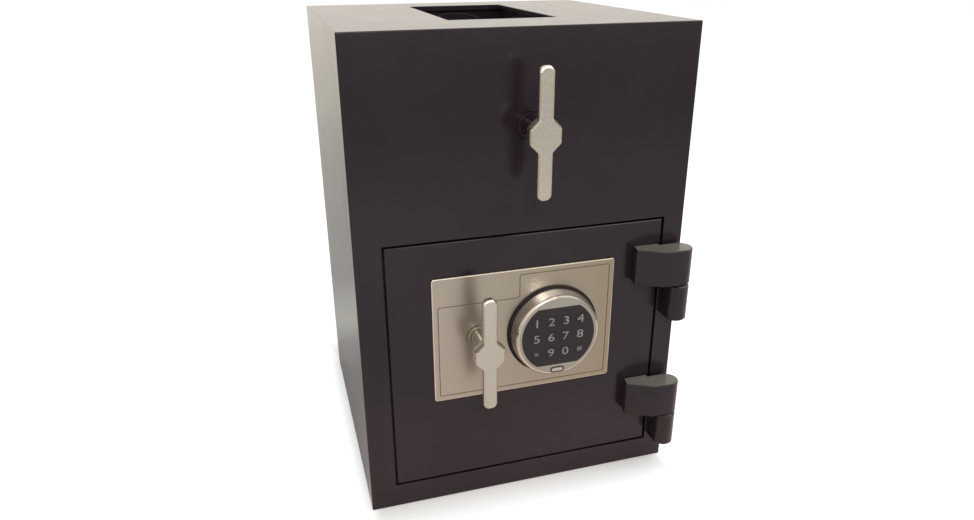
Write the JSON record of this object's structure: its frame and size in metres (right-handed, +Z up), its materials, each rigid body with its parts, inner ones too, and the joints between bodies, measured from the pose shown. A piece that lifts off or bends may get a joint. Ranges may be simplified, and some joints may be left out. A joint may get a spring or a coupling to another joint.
{
  "type": "drop safe",
  "caption": "Free-standing deposit safe: a rotary hopper in the top, turned by a front T-handle, drops into a compartment behind a hinged keypad-lock door with sliding bolts.",
  "frame": {"origin": "centre of the cabinet's flat bottom face, under the middle of its width and depth", "axes": "+Z up; -Y out of the front, where the door and handles are; +X to the hinge side"},
  "size_m": [0.3635, 0.396, 0.52],
  "materials": {
    "charcoal_enamel": "semi-gloss, fine orange-peel texture",
    "satin_nickel": "satin",
    "brushed_plate": "brushed lengthwise",
    "polished_chrome": "bright satin",
    "black_rubber": "matt",
    "black_fascia": "satin",
    "pale_window": "gloss",
    "bright_steel": "ground",
    "zinc_plated": "zinc plated",
    "bearing_bronze": "turned",
    "lock_casting": "die cast"
  },
  "bodies": {
    "cabinet": {"cabinet_shell": "charcoal_enamel", "base_plate": "charcoal_enamel", "back_plate": "charcoal_enamel", "door_stop_frame": "charcoal_enamel", "hopper_front_cheek": "charcoal_enamel", "hopper_rear_cheek": "charcoal_enamel", "hopper_left_guard": "charcoal_enamel", "hopper_right_guard": "charcoal_enamel", "hopper_wall_bush": "bearing_bronze", "hopper_front_bearing": "bearing_bronze", "hopper_rear_bearing": "bearing_bronze", "upper_hinge_body_knuckle": "charcoal_enamel", "lower_hinge_body_knuckle": "charcoal_enamel", "upper_hinge_pin": "bright_steel", "lower_hinge_pin": "bright_steel", "upper_hinge_washer": "bearing_bronze", "lower_hinge_washer": "bearing_bronze"},
    "hopper": {"hopper_drum": "charcoal_enamel", "hopper_drum_front_end": "charcoal_enamel", "hopper_drum_rear_end": "charcoal_enamel", "hopper_spindle": "charcoal_enamel", "hopper_rear_stub": "bright_steel", "hopper_rear_collar": "zinc_plated", "hopper_handle": "satin_nickel", "hopper_stop_arm": "zinc_plated"},
    "door": {"door_plate": "charcoal_enamel", "escutcheon_plate": "brushed_plate", "bolt_work_cover": "charcoal_enamel", "dog_bar": "zinc_plated", "upper_bolt_guide": "zinc_plated", "lower_bolt_guide": "zinc_plated", "upper_carriage_stud": "bright_steel", "lower_carriage_stud": "bright_steel", "upper_hinge_door_knuckle": "charcoal_enamel", "lower_hinge_door_knuckle": "charcoal_enamel", "keypad_gasket": "black_rubber", "keypad_housing": "polished_chrome", "keypad_fascia": "black_fascia", "keypad_window": "pale_window", "lock_body": "lock_casting", "bolt_spindle_bush": "polished_chrome"},
    "bolt_turner": {"bolt_handle": "satin_nickel", "bolt_spindle": "polished_chrome", "bolt_crank": "zinc_plated"},
    "bolt_slider": {"bolt_carriage": "zinc_plated", "upper_bolt": "bright_steel", "lower_bolt": "bright_steel"},
    "lock_bolt": {"lock_bolt": "bright_steel"},
    "key_1": {"key_1": "black_rubber"},
    "key_2": {"key_2": "black_rubber"},
    "key_3": {"key_3": "black_rubber"},
    "key_4": {"key_4": "black_rubber"},
    "key_5": {"key_5": "black_rubber"},
    "key_6": {"key_6": "black_rubber"},
    "key_7": {"key_7": "black_rubber"},
    "key_8": {"key_8": "black_rubber"},
    "key_star": {"key_star": "black_rubber"},
    "key_9": {"key_9": "black_rubber"},
    "key_0": {"key_0": "black_rubber"},
    "key_hash": {"key_hash": "black_rubber"}
  },
  "joints": [
    {"name": "hopper_turn", "type": "hinge", "parent": "cabinet", "child": "hopper", "pos_m": [0, 0, 0.427], "axis": [0, 1, 0], "range_deg": [0, 180]},
    {"name": "door_swing", "type": "hinge", "parent": "cabinet", "child": "door", "pos_m": [0.1715, -0.1915, 0.16], "axis": [0, 0, 1], "range_deg": [0, 180]},
    {"name": "bolt_handle_turn", "type": "hinge", "parent": "door", "child": "bolt_turner", "pos_m": [-0.054, -0.2, 0.204], "axis": [0, -1, 0], "range_deg": [0, 90]},
    {"name": "bolt_slide", "type": "slide", "parent": "door", "child": "bolt_slider", "axis": [-1, 0, 0], "range_m": [0, 0.025]},
    {"name": "lock_bolt_slide", "type": "slide", "parent": "door", "child": "lock_bolt", "axis": [0, 0, 1], "range_m": [0, 0.008]},
    {"name": "key_1_press", "type": "slide", "parent": "door", "child": "key_1", "axis": [0, 1, 0], "range_m": [0, 0.001], "stiffness_N_per_m": 300},
    {"name": "key_2_press", "type": "slide", "parent": "door", "child": "key_2", "axis": [0, 1, 0], "range_m": [0, 0.001], "stiffness_N_per_m": 300},
    {"name": "key_3_press", "type": "slide", "parent": "door", "child": "key_3", "axis": [0, 1, 0], "range_m": [0, 0.001], "stiffness_N_per_m": 300},
    {"name": "key_4_press", "type": "slide", "parent": "door", "child": "key_4", "axis": [0, 1, 0], "range_m": [0, 0.001], "stiffness_N_per_m": 300},
    {"name": "key_5_press", "type": "slide", "parent": "door", "child": "key_5", "axis": [0, 1, 0], "range_m": [0, 0.001], "stiffness_N_per_m": 300},
    {"name": "key_6_press", "type": "slide", "parent": "door", "child": "key_6", "axis": [0, 1, 0], "range_m": [0, 0.001], "stiffness_N_per_m": 300},
    {"name": "key_7_press", "type": "slide", "parent": "door", "child": "key_7", "axis": [0, 1, 0], "range_m": [0, 0.001], "stiffness_N_per_m": 300},
    {"name": "key_8_press", "type": "slide", "parent": "door", "child": "key_8", "axis": [0, 1, 0], "range_m": [0, 0.001], "stiffness_N_per_m": 300},
    {"name": "key_star_press", "type": "slide", "parent": "door", "child": "key_star", "axis": [0, 1, 0], "range_m": [0, 0.001], "stiffness_N_per_m": 300},
    {"name": "key_9_press", "type": "slide", "parent": "door", "child": "key_9", "axis": [0, 1, 0], "range_m": [0, 0.001], "stiffness_N_per_m": 300},
    {"name": "key_0_press", "type": "slide", "parent": "door", "child": "key_0", "axis": [0, 1, 0], "range_m": [0, 0.001], "stiffness_N_per_m": 300},
    {"name": "key_hash_press", "type": "slide", "parent": "door", "child": "key_hash", "axis": [0, 1, 0], "range_m": [0, 0.001], "stiffness_N_per_m": 300}
  ],
  "couplings": [
    {"joint": "bolt_slide", "follows": "bolt_handle_turn", "m_per_rad": 0.015915}
  ]
}
